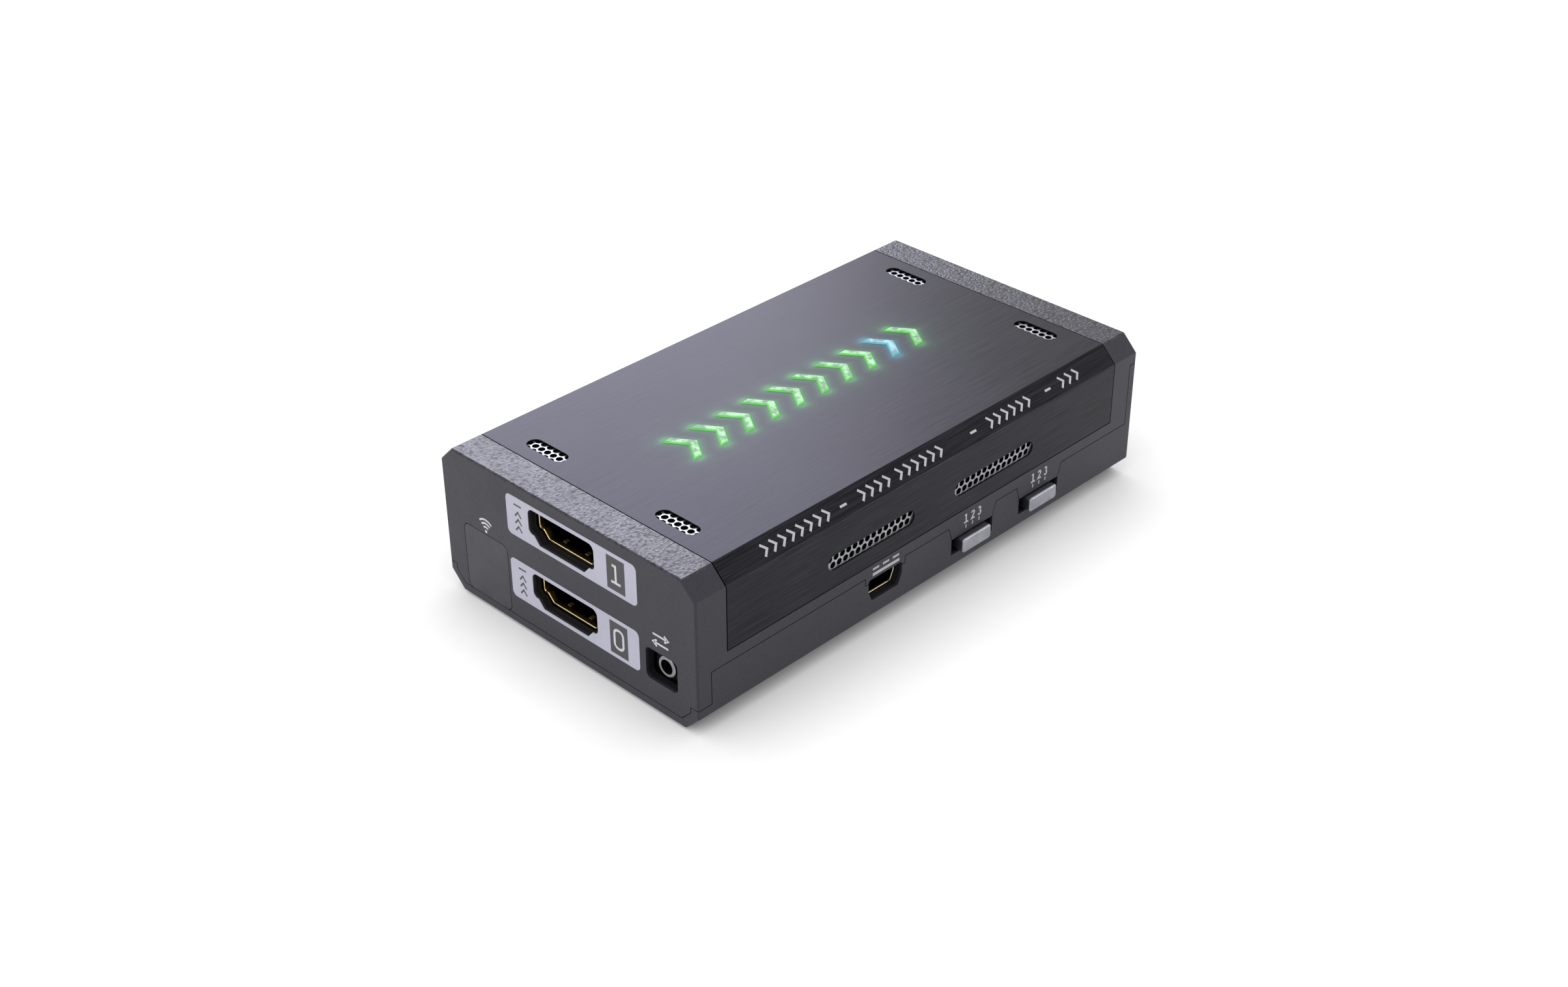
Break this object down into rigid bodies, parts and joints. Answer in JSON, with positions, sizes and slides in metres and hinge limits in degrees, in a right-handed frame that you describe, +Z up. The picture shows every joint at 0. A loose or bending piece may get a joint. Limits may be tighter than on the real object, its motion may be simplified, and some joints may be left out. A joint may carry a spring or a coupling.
{
  "type": "hdmi matrix switcher",
  "caption": "Small box with a folded brushed cover, stacked video sockets in both ends, a power socket and slide switches in one long side, and a lit row of chevrons on top.",
  "frame": {"origin": "middle of the surface that the box stands on", "axes": "+X along the box from the input end to the output end, -Y out of the long side with the power socket and slide switches, +Z up"},
  "size_m": [0.108, 0.0612, 0.0282],
  "materials": {
    "cover_metal": "dark brushed along the length",
    "case_plastic": "fine leather grain",
    "label_plate": "satin light grey",
    "vent_mesh": "bare perforated sheet",
    "window": "smooth, lets infrared through",
    "socket_gold": "gold plated",
    "socket_black": "black moulding",
    "jack_ring": "plated",
    "knob_silver": "fine matt silver",
    "tin": "tinned sheet",
    "light_green": "translucent, lit from below",
    "light_cyan": "translucent, lit from below",
    "board": "solder mask with copper tracks",
    "led": "moulded lens",
    "chip": "moulded package",
    "heat_sink": "extruded, bare",
    "pad": "soft silicone",
    "steel": "zinc plated",
    "rubber": "soft black",
    "can_metal": "smooth can",
    "coil": "moulded ferrite",
    "ceramic": "fired ceramic"
  },
  "bodies": {
    "case": {"accent_guide": "light_cyan", "base_tray": "case_plastic", "capacitors": "can_metal", "case_screws": "steel", "controller_chip": "chip", "crystal": "can_metal", "far_vent_mesh_1": "vent_mesh", "far_vent_mesh_2": "vent_mesh", "header_base": "socket_black", "header_pins": "socket_gold", "header_socket": "socket_black", "heat_sink": "heat_sink", "inductors": "coil", "input_contacts": "socket_gold", "input_label_0": "label_plate", "input_label_1": "label_plate", "input_shell_0": "socket_gold", "input_shell_1": "socket_gold", "input_socket_block": "socket_black", "ir_receiver": "chip", "ir_window": "window", "jack_body": "socket_black", "jack_sleeve": "jack_ring", "led_board": "board", "led_board_screws": "steel", "leds": "led", "light_guide": "light_green", "main_board": "board", "matrix_chip": "chip", "memory_chips": "chip", "near_vent_mesh_1": "vent_mesh", "near_vent_mesh_2": "vent_mesh", "output_contacts": "socket_gold", "output_label_0": "label_plate", "output_label_1": "label_plate", "output_shell_0": "socket_gold", "output_shell_1": "socket_gold", "output_socket_block": "socket_black", "power_contacts": "socket_gold", "power_shell": "socket_gold", "power_tongue": "socket_black", "rubber_feet": "rubber", "small_parts": "ceramic", "switch_1_base": "socket_black", "switch_1_can": "tin", "switch_1_pins": "tin", "switch_2_base": "socket_black", "switch_2_can": "tin", "switch_2_pins": "tin", "thermal_pad": "pad", "top_cover": "cover_metal", "top_vent_mesh_1": "vent_mesh", "top_vent_mesh_2": "vent_mesh", "top_vent_mesh_3": "vent_mesh", "top_vent_mesh_4": "vent_mesh", "upper_housing": "case_plastic"},
    "switch_1_slide": {"switch_1_knob": "knob_silver", "switch_1_slider": "socket_black"},
    "switch_2_slide": {"switch_2_knob": "knob_silver", "switch_2_slider": "socket_black"}
  },
  "joints": [
    {"name": "switch_1_travel", "type": "slide", "parent": "case", "child": "switch_1_slide", "axis": [1, 0, 0], "range_m": [-0.0016, 0.0016]},
    {"name": "switch_2_travel", "type": "slide", "parent": "case", "child": "switch_2_slide", "axis": [1, 0, 0], "range_m": [-0.0016, 0.0016]}
  ]
}
